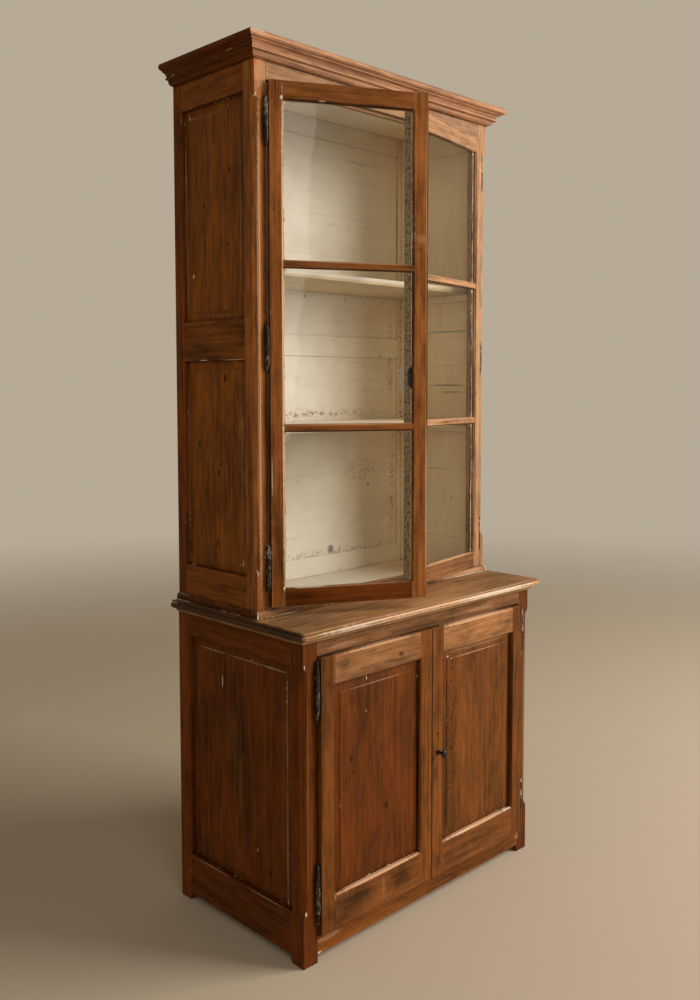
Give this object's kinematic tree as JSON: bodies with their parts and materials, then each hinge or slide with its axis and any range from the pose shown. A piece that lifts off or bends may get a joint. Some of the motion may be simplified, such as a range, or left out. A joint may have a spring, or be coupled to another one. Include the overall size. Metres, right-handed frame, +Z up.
{
  "type": "display cabinet",
  "caption": "Tall two-part wooden display cabinet: glazed upper case with shelves and swinging doors over a cupboard with panelled doors, under a moulded cornice.",
  "frame": {"origin": "centre of the ground that the cabinet takes up with its glazed doors ajar, on the floor under the feet", "axes": "+Z up, the doors face -Y, +X is to the right seen from the front"},
  "size_m": [0.975, 0.5376, 2.2],
  "materials": {
    "stained_pine": "old brown stain and worn varnish over pine, satin, edges rubbed pale",
    "bare_pine": "unfinished old pine, matt, darkened with age",
    "cream_painted_wood": "old cream paint over pine, matt, thin and stained",
    "old_glass": "clear old window glass, slightly wavy",
    "hinge_iron": "dark iron with traces of old paint, satin",
    "dark_iron": "dark wrought and cast iron, worn, satin"
  },
  "bodies": {
    "case": {"case_hinge_halves": "hinge_iron", "cornice": "stained_pine", "foot_moulding": "stained_pine", "frieze_rail": "stained_pine", "lower_back_planks": "bare_pine", "lower_back_posts": "bare_pine", "lower_back_rails": "bare_pine", "lower_floor": "bare_pine", "lower_front_foot_rail": "stained_pine", "lower_front_left_post": "stained_pine", "lower_front_right_post": "stained_pine", "lower_front_top_rail": "stained_pine", "lower_left_side_panel": "stained_pine", "lower_left_side_rails": "stained_pine", "lower_right_side_panel": "stained_pine", "lower_right_side_rails": "stained_pine", "lower_shelf": "bare_pine", "roof_board": "bare_pine", "shelf_bearers": "cream_painted_wood", "upper_back_frame": "cream_painted_wood", "upper_back_panels": "cream_painted_wood", "upper_back_posts": "bare_pine", "upper_front_foot_rail": "stained_pine", "upper_front_left_post": "stained_pine", "upper_front_right_post": "stained_pine", "upper_left_side_panels": "stained_pine", "upper_left_side_rails": "stained_pine", "upper_right_side_panels": "stained_pine", "upper_right_side_rails": "stained_pine", "upper_shelves": "cream_painted_wood", "waist_board": "stained_pine"},
    "left_glazed_door": {"left_glazed_door_glazing_bars": "stained_pine", "left_glazed_door_hinge_halves": "hinge_iron", "left_glazed_door_hinge_stile": "stained_pine", "left_glazed_door_keeper": "dark_iron", "left_glazed_door_meeting_stile": "stained_pine", "left_glazed_door_panes": "old_glass", "left_glazed_door_rails": "stained_pine"},
    "right_glazed_door": {"right_glazed_door_glazing_bars": "stained_pine", "right_glazed_door_hinge_halves": "hinge_iron", "right_glazed_door_hinge_stile": "stained_pine", "right_glazed_door_lock": "dark_iron", "right_glazed_door_meeting_stile": "stained_pine", "right_glazed_door_panes": "old_glass", "right_glazed_door_rails": "stained_pine"},
    "glazed_bolt": {"glazed_door_lock_bolt": "dark_iron"},
    "left_panelled_door": {"left_panelled_door_hinge_halves": "hinge_iron", "left_panelled_door_hinge_stile": "stained_pine", "left_panelled_door_keeper": "dark_iron", "left_panelled_door_meeting_stile": "stained_pine", "left_panelled_door_panel": "stained_pine", "left_panelled_door_rails": "stained_pine"},
    "right_panelled_door": {"right_panelled_door_hinge_halves": "hinge_iron", "right_panelled_door_hinge_stile": "stained_pine", "right_panelled_door_knob": "dark_iron", "right_panelled_door_lock": "dark_iron", "right_panelled_door_meeting_stile": "stained_pine", "right_panelled_door_panel": "stained_pine", "right_panelled_door_rails": "stained_pine"},
    "panelled_bolt": {"panelled_door_lock_bolt": "dark_iron"}
  },
  "joints": [
    {"name": "left_glazed_door_hinge", "type": "hinge", "parent": "case", "child": "left_glazed_door", "pos_m": [-0.412, -0.06775, 1.4715], "axis": [0, 0, -1], "range_deg": [-27.6, 147.4]},
    {"name": "right_glazed_door_hinge", "type": "hinge", "parent": "case", "child": "right_glazed_door", "pos_m": [0.412, -0.06775, 1.4715], "axis": [0, 0, 1], "range_deg": [-11.2, 163.8]},
    {"name": "glazed_door_bolt_slide", "type": "slide", "parent": "right_glazed_door", "child": "glazed_bolt", "axis": [-0.981, -0.1942, 0], "range_m": [0, 0.01]},
    {"name": "left_panelled_door_hinge", "type": "hinge", "parent": "case", "child": "left_panelled_door", "pos_m": [-0.4052, -0.23375, 0.4055], "axis": [0, 0, -1], "range_deg": [0, 175]},
    {"name": "right_panelled_door_hinge", "type": "hinge", "parent": "case", "child": "right_panelled_door", "pos_m": [0.4052, -0.23375, 0.4055], "axis": [0, 0, 1], "range_deg": [0, 175]},
    {"name": "panelled_door_bolt_slide", "type": "slide", "parent": "right_panelled_door", "child": "panelled_bolt", "axis": [-1, 0, 0], "range_m": [0, 0.01]}
  ]
}
